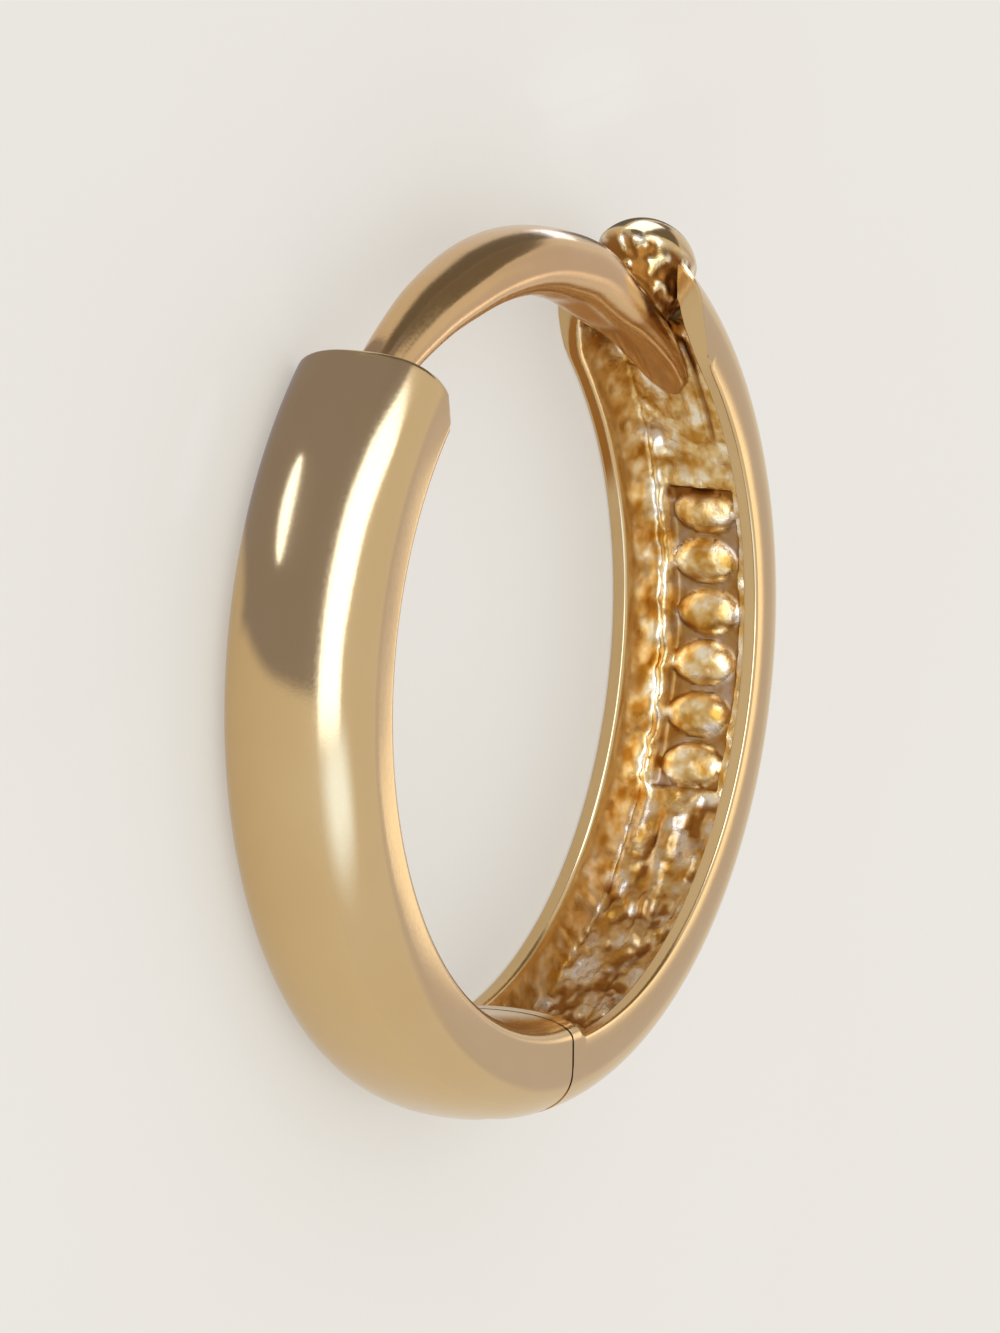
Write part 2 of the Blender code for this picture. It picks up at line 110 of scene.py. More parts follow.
def ringMesh(name, rings, body, replaced=None, ends=("fan", "fan"), marks=None):
    # Closed skin through rings[i, j]: i goes along the piece, j goes round it and wraps.
    # An end closes by a fan about its middle, or by a strip that joins point j to its twin across the ring.
    count, around = rings.shape[:2]
    index = np.arange(count * around).reshape(count, around)
    nextIndex = np.roll(index, -1, axis=1)
    quads = np.stack([index[:-1], index[1:], nextIndex[1:], nextIndex[:-1]], axis=-1).reshape(-1, 4)
    verts = rings.reshape(-1, 3)
    triangles = np.empty((0, 3), int)
    for kind, loop in ((ends[0], index[0]), (ends[1], index[-1][::-1])):
        if kind == "fan":
            middle = len(verts)
            verts = np.vstack([verts, verts[loop].mean(axis=0)])
            fan = np.stack([loop, np.roll(loop, -1), np.full(around, middle)], axis=-1)
            triangles = np.vstack([triangles, fan])
        else:
            j = np.arange(around // 2 - 1)
            strip = np.stack([loop[j], loop[j + 1], loop[around - 2 - j], loop[around - 1 - j]], axis=-1)
            quads = np.vstack([quads, strip])
    a, b, c, d = (verts[quads[:, k]] for k in range(4))
    volume = (a * np.cross(b, c)).sum() + (a * np.cross(c, d)).sum()
    e, f, g = (verts[triangles[:, k]] for k in range(3))
    volume += (e * np.cross(f, g)).sum()
    if volume < 0:  # turned inside out, so every face is read backwards
        quads, triangles = quads[:, ::-1], triangles[:, ::-1]
    mesh = bpy.data.meshes.new(name)
    corners = np.concatenate([quads.ravel(), triangles.ravel()])
    starts = np.concatenate([np.arange(len(quads)) * 4, len(quads) * 4 + np.arange(len(triangles)) * 3])
    mesh.vertices.add(len(verts))
    mesh.vertices.foreach_set("co", verts.ravel())
    mesh.loops.add(len(corners))
    mesh.loops.foreach_set("vertex_index", corners)
    mesh.polygons.add(len(starts))
    mesh.polygons.foreach_set("loop_start", starts)
    mesh.update(calc_edges=True)
    mesh.validate()
    mesh.shade_smooth()
    mesh.set_sharp_from_angle(angle=radians(50))  # true corners stay crisp, rounded ones smooth
    for key, share in (marks or {}).items():  # shares from 0 to 1 that the material reads at each point
        values = np.zeros(len(verts), np.float32)
        values[: count * around] = share.ravel()
        mesh.attributes.new(key, "FLOAT", "POINT").data.foreach_set("value", values)
    piece = bpy.data.objects.new(name, mesh)
    bpy.context.scene.collection.objects.link(piece)
    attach(piece, body)
    if replaced:
        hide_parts(replaced)
    print("made", name, len(quads) * 2 + len(triangles), "triangles")
    return piece


def rounded(share, power):
    # Height of a superellipse over its middle: (1 - |x|^p)^(1/p).
    return np.maximum(0, 1 - np.abs(share) ** power) ** (1 / power)


def crownRadius(z):
    return shoulder + (hoop["radius"] - shoulder) * rounded(z / half, hoop["crownPower"])


def domeRadius(z):
    corner = rim + hoop["domeCorner"]
    return corner - (hoop["domeCorner"] + hoop["domeHeight"]) * rounded(z / half, hoop["domePower"])


earPost = {
    "width": 1.36,
    "thickness": 0.98,
    "floor": 5.97,  # radius of the trough's floor
    "clearance": 0.05,
    "power": 2.25,
    "along": 150,
    "around": 64,
    # angle, rise as a share of the band's thickness, width and thickness as shares of the post's own
    "rows": [
        (29.0, 0.0, 0.18, 0.12),
        (31.0, 0.0, 0.40, 0.19),
        (35.5, 0.0, 0.58, 0.32),
        (41.5, 0.0, 0.70, 0.49),
        (48.0, 0.0, 0.78, 0.66),
        (54.0, 0.0, 0.85, 0.80),
        (58.0, 0.03, 0.90, 0.88),
        (62.0, 0.07, 0.95, 0.94),
        (67.0, 0.10, 0.99, 0.98),
        (73.0, 0.10, 1.0, 1.0),
        (80.0, 0.11, 1.0, 1.0),
        (88.0, 0.105, 0.97, 0.98),
        (96.0, 0.09, 0.90, 0.94),
        (104.0, 0.075, 0.82, 0.88),
        (111.0, 0.085, 0.73, 0.81),
        (117.0, 0.09, 0.65, 0.74),
        (122.0, 0.11, 0.59, 0.68),
        (127.0, 0.14, 0.54, 0.62),
        (131.0, 0.175, 0.48, 0.54),
        (133.2, 0.20, 0.36, 0.40),
    ],
}


def postPath(angles):
    # Centre radius, half width and half thickness of the post at each angle.
    rise, wide, thick = (smoothTable(earPost["rows"], column, angles) for column in (1, 2, 3))
    rise, wide, thick = rise * hoop["thickness"], wide * earPost["width"], thick * earPost["thickness"]
    centre = earPost["floor"] - earPost["clearance"] - thick / 2 + rise
    return centre, wide / 2, thick / 2


def ovalRings(angles, centre, halfWide, halfThick, around, power):
    # Superellipse square to the path: cosine and sine each raised to 2/p, sign kept.
    turn = np.linspace(0, 2 * pi, around, endpoint=False)
    across = np.sign(np.sin(turn)) * np.abs(np.sin(turn)) ** (2 / power)
    out = np.sign(np.cos(turn)) * np.abs(np.cos(turn)) ** (2 / power)
    path = place(centre, angles, 0.0 * angles)
    step = np.gradient(path, axis=0)
    step /= np.linalg.norm(step, axis=1, keepdims=True)
    outward = np.cross(step, (0, 0, 1))
    up = np.array((0, 0, 1.0))
    rings = path[:, None] + outward[:, None] * (halfThick[:, None] * out)[..., None] * mm
    return rings + up * (halfWide[:, None] * across)[..., None] * mm


def makeEarPost():
    p = earPost
    first, last = p["rows"][0][0], p["rows"][-1][0]
    t = np.linspace(0, 1, p["along"])
    angles = first + (last - first) * (t - 0.06 * np.sin(2 * pi * t) / pi)  # closer at both ends
    centre, halfWide, halfThick = postPath(angles)
    rings = ovalRings(angles, centre, halfWide, halfThick, p["around"], p["power"])
    return ringMesh("ear_post_bar", rings, "back", "ear_post")


frontHalf = {
    "cap": 128.0,
    "capRound": 0.09,
    "corner": 0.36,  # radius of the cap's corner at the inner rim
    "cornerArc": 0.98,  # stops just short of a full quarter circle
    "cornerFade": 9.0,  # degrees over which the rings behind it straighten again
    "mouthClearance": 0.07,
    "mouthRound": 0.03,
    "socketRoom": 0.09,  # round the post inside the socket
    "socketEnd": 135.0,
    "postTip": 131.0,  # the socket gets no narrower from here on
    "across": 72,  # points from side to side, on the crown and on the dome
    "along": 260,
}


def acrossBand(count, edge):
    # Half width times cosine steps, closer at both rims, with a pair of points at the edge on either side.
    z = half * np.cos(np.linspace(0, pi, count))
    for side in (-edge, edge):
        near = np.argsort(np.abs(z - side))[:2]
        z[near] = np.sort([side - 0.004, side + 0.004])[::-1]
        z = np.sort(z)[::-1]
    return z


def insetOutline(outline, distance):
    # Each point of a closed outline of (radius, z) moved inwards along the normal of its neighbours' chord.
    chord = np.roll(outline, -1, axis=0) - np.roll(outline, 1, axis=0)
    chord /= np.linalg.norm(chord, axis=1, keepdims=True)
    normal = np.stack([chord[:, 1], -chord[:, 0]], axis=1)
    middle = outline.mean(axis=0)
    if ((outline - middle) * normal).sum() > 0:
        normal = -normal
    return outline + normal * distance


def capBend(radius, angle):
    # How far the rings bend back at the inner rim: a quarter circle's sagitta, fading behind the cap.
    p = frontHalf
    t = np.clip((rim + p["corner"] - radius) / p["corner"], 0, 1)
    back = p["corner"] * (1 - np.sqrt(1 - t ** 2 * p["cornerArc"]))
    share = np.clip(1 - (angle - p["cap"]) / p["cornerFade"], 0, 1)
    return angle + np.degrees(back / rim) * share ** 1.5


def makeFrontHalf():
    p = frontHalf
    slotHalf = hinge["tongueWidth"] / 2 + hinge["clearance"]
    z = acrossBand(p["across"], slotHalf)
    reach = hinge["setback"] - hoop["seamGap"] / 2
    end = hoop["seam"] - degrees(hoop["seamGap"] / 2 / hinge["pinOrbit"])
    slotStart = hinge["pinAngle"] - degrees((hinge["tongueRadius"] + hinge["clearance"]) / hinge["pinOrbit"])
    slotFloor = hinge["pinOrbit"] - hinge["tongueRadius"] - hinge["clearance"]
    t = np.linspace(0, 1, 40)
    stations = np.concatenate([
        np.linspace(p["cap"] + degrees(p["capRound"] / hoop["radius"]), slotStart - 0.05, p["along"]),
        slotStart + 0.05 + (end - slotStart - 0.05) * (1 - (1 - t) ** 1.7),  # closer towards the seam
    ])
    crown = np.tile(crownRadius(z), (len(stations), 1))
    turn = np.radians(np.maximum(stations - hinge["pinAngle"], 0))  # nose rounded about the pin
    room = np.sqrt(np.maximum(0, reach ** 2 - (hinge["pinOrbit"] * np.sin(turn)) ** 2))
    limit = np.where(turn > 0, hinge["pinOrbit"] * np.cos(turn) + room, 99)
    crown = np.minimum(crown, limit[:, None])
    inSlot = (stations[:, None] > slotStart) & (np.abs(z)[None] < slotHalf)
    crown = np.where(inSlot, slotFloor, crown)
    dome = np.tile(domeRadius(z[::-1]), (len(stations), 1))
    radius = np.concatenate([crown, dome], axis=1)
    zRing = np.concatenate([z, z[::-1]])
    body = place(radius, capBend(radius, stations[:, None]), zRing[None])[::-1]  # seam first, cap last

    outline = np.stack([radius[0], zRing], axis=1)
    rings = []
    for t in np.linspace(0, pi / 2, 8)[1:]:  # rounded edge of the cap
        ring = insetOutline(outline, p["capRound"] * (1 - cos(t)))
        angle = p["cap"] + degrees(p["capRound"] * (1 - sin(t)) / hoop["radius"])
        rings.append(place(ring[:, 0], capBend(ring[:, 0], angle), ring[:, 1]))
    inner = ring
    centre, halfWide, halfThick = postPath(np.array([p["cap"]]))
    away = inner - (centre[0], 0)
    turn = np.arctan2(away[:, 1], away[:, 0])
    mouth = np.stack([np.cos(turn), np.sin(turn)], axis=1)
    size = np.array([halfThick[0], halfWide[0]]) + p["mouthClearance"]
    for share in np.linspace(0, 1, 7)[1:]:  # flat end face, from the edge to the mouth of the socket
        wide = size + p["mouthRound"]
        ring = inner * (1 - share) + (mouth * wide + (centre[0], 0)) * share
        rings.append(place(ring[:, 0], capBend(ring[:, 0], p["cap"]), ring[:, 1]))
    for t in np.linspace(0, pi / 2, 5)[1:]:  # rounded mouth
        ring = mouth * (size + p["mouthRound"] * (1 - sin(t))) + (centre[0], 0)
        angle = p["cap"] + degrees(p["mouthRound"] * (1 - cos(t)) / hoop["radius"])
        rings.append(place(ring[:, 0], capBend(ring[:, 0], angle), ring[:, 1]))
    for angle in np.linspace(p["cap"] + 0.4, p["socketEnd"], 14):
        centre, halfWide, halfThick = postPath(np.array([min(angle, p["postTip"])]))
        size = np.array([halfThick[0], halfWide[0]]) + p["socketRoom"]
        ring = mouth * size + (centre[0], 0)
        rings.append(place(ring[:, 0], capBend(ring[:, 0], angle), ring[:, 1]))
    rings = np.concatenate([body, np.array(rings)])
    return ringMesh("front_half_shell", rings, "front", "front_half", ("strip", "fan"))


backHalf = {
    "top": 53.5,
    "slantStart": 30.0,  # from here to the top the rims run out towards the crown
    "slantPower": 3.4,
    "slantBlend": 6.0,  # degrees over which the slant takes over from the trough
    "slantCorner": 0.03,
    "slantWall": 0.01,  # least thickness under the crown
    "blunt": 0.06,  # thickness left at the ends of the two prongs
    "depth": 0.62,
    "rimWidth": 0.23,
    "slope": 0.2,
    "slopeEase": 0.03,  # added to the slope on both sides by its rounded corners
    "floorFrom": (0.72, 1.0),  # shares of the slope over which the floor's relief begins
    "wallFrom": (0.15, 0.5),  # and the wall's
    "rimEdge": 0.05,
    "endWall": 0.35,
    "opens": (-0.5, 0.6),  # degrees past the end wall over which the trough opens
    "castFrom": (-0.2, 0.8),  # and over which its cast skin begins
    "seatOut": 0.82,  # radius of the rivet's seat on the crown
    "seatIn": 0.745,  # and on the trough's floor
    "seatRun": 0.05,  # flare of the channel that opens the seat towards the arch
    "across": 84,
    "beside": 11,  # more columns along each side of the channel
    "along": 390,
}

castRelief = {
    "grain": 0.018,  # height of the sandy grain left by the mould
    "grainSize": 0.10,
    "lump": 0.04,
    "lumpSize": 0.27,
    "streak": 0.045,  # long ridges on the lower floor
    "streakWide": 0.15,
    "streakLong": 1.3,
    "lower": (-28, -34),  # degrees over which the streaked lower floor begins
    "panelStart": -29.0,
    "panelEnd": 12.5,
    "panelWidth": 1.04,
    "panelDepth": 0.1,
    "ridge": {"height": 0.1, "z": -0.6, "wide": 0.085, "start": (-31, -27), "end": (16, 26)},
    "ovals": 6,
    "ovalLong": 0.65,
    "ovalWide": 0.98,
    "ovalHigh": 0.19,
    "ovalPower": 0.6,  # a half is an ellipsoid's dome, less is flatter on top
    "ovalWander": 0.03,  # the ovals don't stand quite in line
    # smooth strip beside the root, with a crease along it
    "strip": {
        "left": (0.02, 0.1), "right": (0.66, 0.72), "start": (19, 21), "end": (37, 39), "height": 0.03,
    },
    "crease": {"z": 0.36, "wide": 0.05, "depth": 0.05},
    # darkening of the cast skin: a darker ground round the ovals, painted shadow across the panel's top,
    # painted shade along the near wall's foot, in the crease and towards the lower floor, and darker hollows
    "groundDarkening": 0.75,
    "panelTopShadow": {"below": 0.8, "wide": 0.9},
    "nearWallShade": {"share": 0.9, "z": 0.68, "wide": 0.045, "start": (-36, -30), "end": (24, 32)},
    "creaseShade": 0.7,
    "lowerFloorShade": 0.5,
    "wall": {"lump": 0.03, "long": 0.12, "wide": 0.05, "stain": 0.4, "stained": (0.2, 0.9)},
}


def bell(value, middle, wide):
    # 1 at the middle, falling as exp(-t^2) on both sides.
    return np.exp(-(((value - middle) / wide) ** 2))


def stretch(angle, start, end):
    # 1 between the two ends, each end a smooth step.
    return smoothStep(*start, angle) * (1 - smoothStep(*end, angle))


def castHeight(angle, z):
    # Height in mm of what stands up from the trough's floor: grain, streaks, sunk panel and its ovals; and
    # how much darker the skin is there, most round the ovals and along the borders: a darker ground and
    # darker hollows, painted shadow across the panel's top, and painted shade along the near wall's foot, in
    # the crease and towards the lower floor.
    c = castRelief
    floor = earPost["floor"]
    arc = np.radians(angle) * floor
    grain = softNoise(arc / c["grainSize"], z / c["grainSize"] + 40, 11)
    fine = softNoise(arc / c["grainSize"] * 1.9 + 7, z / c["grainSize"] * 1.9 + 3, 12)
    lump = softNoise(arc / c["lumpSize"], z / c["lumpSize"] + 20, 13)
    streak = softNoise(arc / c["streakLong"] + z * 0.5, z / c["streakWide"] + 50, 14)
    streak += 0.6 * softNoise(arc / c["streakLong"] * 2.1 + 9, z / c["streakWide"] * 1.7, 15)
    lower = smoothStep(*c["lower"], angle)
    inPanel = smoothStep(c["panelStart"] - 0.5, c["panelStart"] + 0.5, angle)
    inPanel = inPanel * (1 - smoothStep(c["panelEnd"] - 0.4, c["panelEnd"] + 0.4, angle))
    inside = 1 - smoothStep(c["panelWidth"] / 2 - 0.03, c["panelWidth"] / 2 + 0.03, np.abs(z))
    plain = inPanel * inside
    strip = smoothStep(*c["strip"]["left"], z) * (1 - smoothStep(*c["strip"]["right"], z))
    strip = strip * stretch(angle, c["strip"]["start"], c["strip"]["end"])
    crease = bell(z, c["crease"]["z"], c["crease"]["wide"]) * strip

    rough = (1 - 0.85 * strip) * (1 - 0.75 * plain)
    height = c["grain"] * (grain + 0.5 * fine) * rough
    height = height + c["lump"] * lump * rough * (1 - 0.5 * plain)
    height = height + c["streak"] * streak * (0.25 + 0.75 * lower) * (1 - plain) * rough
    height = height - c["crease"]["depth"] * crease + c["strip"]["height"] * strip
    ridge = c["ridge"]
    border = bell(z, ridge["z"], ridge["wide"]) * stretch(angle, ridge["start"], ridge["end"])
    height = height + ridge["height"] * border * (1 + 0.4 * lump) - c["panelDepth"] * plain

    pitch = (c["panelEnd"] - c["panelStart"]) / c["ovals"]
    spot = (angle - c["panelStart"]) / pitch
    along = (spot - np.floor(spot) - 0.5) * radians(pitch) * floor
    which = np.clip(np.floor(spot), 0, c["ovals"] - 1)
    wander = c["ovalWander"] * np.sin(which * 2.4 + 1)
    reach = (2 * along / c["ovalLong"]) ** 2 + (2 * (z - wander) / c["ovalWide"]) ** 2
    ovals = np.maximum(0, 1 - reach) ** c["ovalPower"] * (1 + 0.15 * lump)
    height = height + c["ovalHigh"] * ovals * inPanel

    # the panel's ground round the ovals is darker
    tarnishAndShade = c["groundDarkening"] * plain * smoothStep(0.8, 1.1, reach)
    top, near = c["panelTopShadow"], c["nearWallShade"]
    # painted shadow across the top of the sunk panel
    tarnishAndShade = tarnishAndShade + inside * bell(angle, c["panelEnd"] - top["below"], top["wide"])
    # painted shade along the foot of the near wall
    nearLine = bell(z, near["z"], near["wide"]) * stretch(angle, near["start"], near["end"])
    # darker in the relief's hollows; the extra darkening on the lower floor is painted shade
    hollow = smoothStep(-0.2, -1.0, lump + 0.6 * grain) * (0.35 + 0.5 * lower) * (1 - plain) * (1 - strip)
    tarnishAndShade = tarnishAndShade + near["share"] * nearLine + hollow
    # painted shade in the crease and towards the lower floor
    tarnishAndShade = tarnishAndShade + c["creaseShade"] * crease + c["lowerFloorShade"] * lower
    return height, np.clip(tarnishAndShade, 0, 1)


def troughRadius(angle, z):
    # Rim, sloping wall and floor across the trough; each corner is a smooth step of |z|.
    p = backHalf
    rimInner = half - p["rimWidth"]
    pastEdge = np.clip((np.abs(z) - half + p["rimEdge"]) / p["rimEdge"], 0, 1)
    outerEdge = 1 - np.sqrt(np.clip(1 - pastEdge ** 2, 0, 1))  # quarter circle
    ease = p["slopeEase"]
    t = np.clip((rimInner + ease - np.abs(z)) / (p["slope"] + 2 * ease), 0, 1)
    slope = 0.35 * t + 0.65 * t * t * (3 - 2 * t)
    floorShare = smoothStep(*p["floorFrom"], t)
    wallShare = smoothStep(*p["wallFrom"], t)
    height, tarnishAndShade = castHeight(angle, z)
    wall = castRelief["wall"]
    lump = softNoise(np.radians(angle) * earPost["floor"] / wall["long"], z / wall["wide"] + 9, 21)
    height = height * floorShare + wall["lump"] * lump * wallShare * (1 - floorShare)
    wallStain = wall["stain"] * smoothStep(*wall["stained"], lump)
    tarnishAndShade = tarnishAndShade * floorShare + (1 - floorShare) * wallStain
    radius = rim + p["rimEdge"] * outerEdge + p["depth"] * slope - height
    return radius, wallShare, tarnishAndShade


def columnEnds(z, seat):
    # Angle where each column of the top end stops: at the seat's circle in the middle, and outside it
    # where the slant is as near to the crown as the prongs are blunt.
    p = backHalf
    low = rim - p["rimEdge"]
    room = (crownRadius(z) - p["blunt"] - low) / (hoop["radius"] - low)
    tip = p["slantStart"] + (p["top"] - p["slantStart"]) * room ** (1 / p["slantPower"])
    dip = np.sqrt(np.maximum(0, seat ** 2 - z ** 2))
    circle = rivet["angle"] - np.degrees(dip / (hoop["radius"] - rivet["sink"]))
    channel = smoothStep(seat - 0.002, seat + p["seatRun"], np.abs(z))
    return np.minimum(tip, circle + (tip - circle) * channel)


def makeBackHalf():
    p = backHalf
    even = np.linspace(-1, 1, p["across"])[::-1]  # columns a little closer towards the rims
    z = 0.45 * half * np.sin(even * pi / 2) + 0.55 * half * np.sign(even) * np.abs(even) ** 0.93
    beside = np.linspace(p["seatIn"], p["seatOut"] + p["seatRun"], p["beside"])
    z = np.sort(np.concatenate([z, beside, -beside]))[::-1]
    start = hoop["seam"] - 360 + degrees(hoop["seamGap"] / 2 / hinge["pinOrbit"])
    wall = hoop["seam"] - 360 + degrees(p["endWall"] / earPost["floor"])
    above = p["slantStart"]
    run = np.linspace(wall - 0.45, p["top"], p["along"])  # many rings here, few through the end wall
    stations = np.concatenate([np.linspace(start, wall - 0.55, 8), run])[:, None]
    share = np.clip((stations - above) / (p["top"] - above), 0, 1)
    sides = []
    for seat in (p["seatOut"], p["seatIn"]):
        stretched = above + share * (columnEnds(z, seat)[None] - above)
        sides.append(np.where(stations > above, stretched, stations))
    outAngle, inAngle = sides
    zGrid = np.broadcast_to(z[None], outAngle.shape)
    crown = crownRadius(zGrid)
    trough, cast, tarnishAndShade = troughRadius(inAngle, zGrid)
    low = rim - p["rimEdge"]
    t = np.clip((inAngle - above) / (p["top"] - above), 0, 1)
    slant = low + (hoop["radius"] - low) * t ** p["slantPower"]
    # the higher of trough and slant, with a soft corner: half of a + b + root of (a - b)^2 + k^2
    inner = (trough + slant + np.sqrt((trough - slant) ** 2 + p["slantCorner"] ** 2)) / 2
    inner = np.where(inAngle > above, np.minimum(inner, crown - p["slantWall"]), trough)
    blend = smoothStep(above, above + p["slantBlend"], inAngle)
    inner = trough * (1 - blend) + inner * blend
    opening = smoothStep(*p["opens"], inAngle - wall)
    inner = domeRadius(zGrid) * (1 - opening) + inner * opening
    polished = smoothStep(-0.05, 0.1, slant - trough)  # the slant was filed and polished with the rims
    cast = cast * smoothStep(*p["castFrom"], inAngle - wall) * (1 - polished)
    radius = np.concatenate([crown, inner[:, ::-1]], axis=1)
    angles = np.concatenate([outAngle, inAngle[:, ::-1]], axis=1)
    zRing = np.concatenate([zGrid, zGrid[:, ::-1]], axis=1)
    # the trough's darkening, partly painted shade (panel's top, near wall's foot, crease, lower floor)
    marks = {"castShare": cast, "tarnishAndShade": tarnishAndShade * cast}
    marks = {key: np.concatenate([0 * crown, share[:, ::-1]], axis=1) for key, share in marks.items()}
    rings = place(radius, angles, zRing)
    return ringMesh("back_half_shell", rings, "back", "back_half", ("strip", "strip"), marks)


def makeHingeTongue():
    # Round-nosed plate: a half circle about the pin, then straight back into the end wall.
    reach = hinge["tongueRadius"]
    turn = np.linspace(pi / 2, 3 * pi / 2, 40)
    along = np.concatenate([reach * np.cos(turn), [hinge["tongueLength"]] * 2])
    out = np.concatenate([reach * np.sin(turn), [-reach, reach]])
    seamTurn = radians(hoop["seam"])
    outward = np.array((cos(seamTurn), sin(seamTurn)))
    onward = np.array((-sin(seamTurn), cos(seamTurn)))
    flat = (hinge["pinOrbit"] + out)[:, None] * outward + (along - hinge["setback"])[:, None] * onward
    flat[:, 1] += hoop["centreY"]
    rings = []
    middle = flat.mean(axis=0)
    wide, edge = hinge["tongueWidth"] / 2, hinge["tongueEdge"]
    for z, shrink in ((-wide, edge), (-wide + edge, 0), (wide - edge, 0), (wide, edge)):
        ring = middle + (flat - middle) * (1 - shrink / reach)
        rings.append(np.column_stack([ring, np.full(len(ring), z + half)]) * mm)
    return ringMesh("hinge_tongue", np.array(rings), "back")


rivet = {
    "angle": 48.0,
    "radius": 0.78,
    "sink": 0.17,  # centre of the ball below the top of the crown
    "gap": 0.025,  # to the post's back
    "skirt": 0.22,
    "pit": 0.11,  # depth of the dimples left by casting, all but on its polished top
    "pitSize": 0.135,
    "polishedFrom": (0.32, 0.14),  # heights over the middle between which pits give way to polish
    "dark": (0.5, 0.0),  # depths of noise between which the pits turn dark
    "around": 160,
    "steps": 80,
}


def makeRivet():
    # Ball about its centre, dimpled below its polished top; its skirt is cut along the post's back.
    p = rivet
    centre = hoop["radius"] - p["sink"]
    seat = earPost["floor"] - earPost["clearance"]
    turn = np.linspace(0, 2 * pi, p["around"], endpoint=False)
    _, halfWide, halfThick = (value[0] for value in postPath(np.array([p["angle"]])))

    def postBack(along, across):
        # Outer surface of the root: its seat less an ellipse's fall to both sides.
        fall = np.sqrt(np.maximum(0, 1 - (across / halfWide) ** 2))
        back = seat - halfThick * (1 - fall) + p["gap"]
        curve = along ** 2 / 2 / seat  # the root bends with the hoop
        return np.maximum(np.where(np.abs(across) < halfWide, back - curve, 0), seat - p["skirt"])

    # edge of the ball in each direction: halve the interval until ball and post's back meet
    low, high = np.zeros_like(turn), np.full_like(turn, p["radius"])
    for _ in range(40):
        reach = (low + high) / 2
        ball = centre - np.sqrt(np.maximum(0, p["radius"] ** 2 - reach ** 2))
        under = ball < postBack(reach * np.cos(turn), reach * np.sin(turn))
        low, high = np.where(under, reach, low), np.where(under, high, reach)
    edge = (low + high) / 2
    sweep = pi - np.arcsin(np.clip(edge / p["radius"], 0, 1))  # from the pole over the waist to the edge
    share = np.linspace(0.012, 1, p["steps"])[:, None]
    a = sweep[None] * share
    toward = np.stack([np.sin(a) * np.cos(turn), np.sin(a) * np.sin(turn), np.cos(a) + 0 * turn], axis=-1)
    u, v, w = (p["radius"] / p["pitSize"] * toward[..., k] for k in range(3))
    pits = softNoise(u + 20, v + 0.7 * w + 20, 31) + softNoise(w + 20, u - 0.6 * v + 20, 32)
    cast = smoothStep(*p["polishedFrom"], p["radius"] * toward[..., 2])
    fromEdge = smoothStep(1.0, 0.93, share)  # no pits right at the edge
    sunk = p["pit"] * cast * fromEdge * (0.5 - 0.25 * pits)  # pits runs from -2 to 2
    skin = toward * (p["radius"] - sunk)[..., None] + (0, 0, centre)
    reach = edge[None] * np.linspace(1, 0.05, 10)[1:, None]
    along, across = reach * np.cos(turn), reach * np.sin(turn)
    under = np.stack([along, across, postBack(along, across)], axis=-1)
    rows = np.concatenate([skin, under])
    axis = radians(p["angle"])
    outward, tangent = np.array((cos(axis), sin(axis))), np.array((-sin(axis), cos(axis)))
    flat = rows[..., 2:3] * outward + rows[..., 0:1] * tangent
    flat[..., 1] += hoop["centreY"]
    points = np.concatenate([flat, rows[..., 1:2] + half], axis=-1) * mm
    marks = {"castShare": cast, "tarnishAndShade": cast * smoothStep(*p["dark"], pits)}
    marks = {key: np.concatenate([mark, np.ones_like(along)]) for key, mark in marks.items()}
    return ringMesh("post_rivet_head", points, "back", "post_rivet", marks=marks)


def linear(hexText):
    # sRGB hex to linear light: below 0.04045 a straight line, above it a power of 2.4.
    values = [int(hexText[i:i + 2], 16) / 255 for i in (1, 3, 5)]
    return [v / 12.92 if v <= 0.04045 else ((v + 0.055) / 1.055) ** 2.4 for v in values] + [1.0]


def addNode(tree, kind, settings=None, values=None, links=None):
    # Adds a node, sets its properties and sockets, and links other nodes' outputs into it.
    node = tree.nodes.new(kind)
    for key, value in (settings or {}).items():
        setattr(node, key, value)
    for key, value in (values or {}).items():
        node.inputs[key].default_value = value
    for key, socket in (links or {}).items():
        tree.links.new(socket, node.inputs[key])
    return node


def perMm(size):
    # Texture scale for features of this size in mm, on coordinates in metres.
    return 1 / (size * mm)


def noise(tree, where, size, detail, roughness=0.5):
    # Cloudy noise with features of this size in mm.
    values = {"Scale": perMm(size), "Detail": detail, "Roughness": roughness}
    return addNode(tree, "ShaderNodeTexNoise", values=values, links={"Vector": where}).outputs["Fac"]


def between(tree, value, low, high, first, last):
    # Straight line from first, where the value is low, to last, where it is high.
    ends = {"From Min": low, "From Max": high, "To Min": first, "To Max": last}
    return addNode(tree, "ShaderNodeMapRange", values=ends, links={"Value": value}).outputs["Result"]


def mixColour(tree, share, first, second):
    # Each of the two is either a hex text or another node's output.
    node = addNode(tree, "ShaderNodeMix", {"data_type": "RGBA"}, links={0: share})
    for socket, colour in ((6, first), (7, second)):
        if isinstance(colour, str):
            node.inputs[socket].default_value = linear(colour)
        else:
            tree.links.new(colour, node.inputs[socket])
    return node.outputs[2]


def relief(tree, height, depth, below=None):
    # Bumps of this depth in mm, on top of another bump node's normal.
    links = {"Height": height, "Normal": below} if below else {"Height": height}
    values = {"Strength": 1.0, "Distance": depth * mm}
    return addNode(tree, "ShaderNodeBump", values=values, links=links).outputs["Normal"]


# rough is the roughness from the finest to the dullest grain, all lengths are millimetres
polishedLook = {
    "colour": "#D8BC8D", "warm": "#D2B280", "cloudSize": 1.6,
    "rough": (0.13, 0.18), "grainSize": 0.05, "grain": 0.0006, "waveSize": 1.1, "wave": 0.005,
}
satinLook = {
    "colour": "#DBB787", "warm": "#D5AE7A", "cloudSize": 1.2,
    "rough": (0.14, 0.22), "grainSize": 0.05, "grain": 0.001, "waveSize": 0.7, "wave": 0.004,
}


